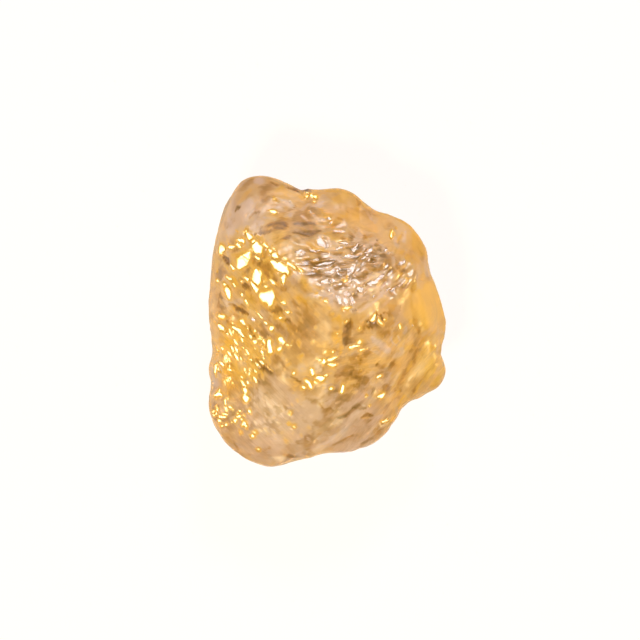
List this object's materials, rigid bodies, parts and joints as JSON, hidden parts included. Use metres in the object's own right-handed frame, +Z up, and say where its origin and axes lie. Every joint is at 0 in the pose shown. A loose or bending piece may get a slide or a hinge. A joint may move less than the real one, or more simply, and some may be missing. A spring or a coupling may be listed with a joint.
{
  "type": "morganite crystal",
  "caption": "Rough, see-through peach-gold crystal with a raised summit, a hackled hollow, lobed rim and ribbed underside, lying on its flattest break.",
  "frame": {"origin": "on the table, under the middle of the stone's box", "axes": "+Z up, +Y along the stone's length towards its lobed top end, +X towards its right flank as seen from above"},
  "size_m": [0.0234, 0.028, 0.0172],
  "materials": {
    "morganite": "clear glossy crystal, peach to gold"
  },
  "bodies": {
    "root": {"morganite_crystal": "morganite"}
  },
  "joints": []
}
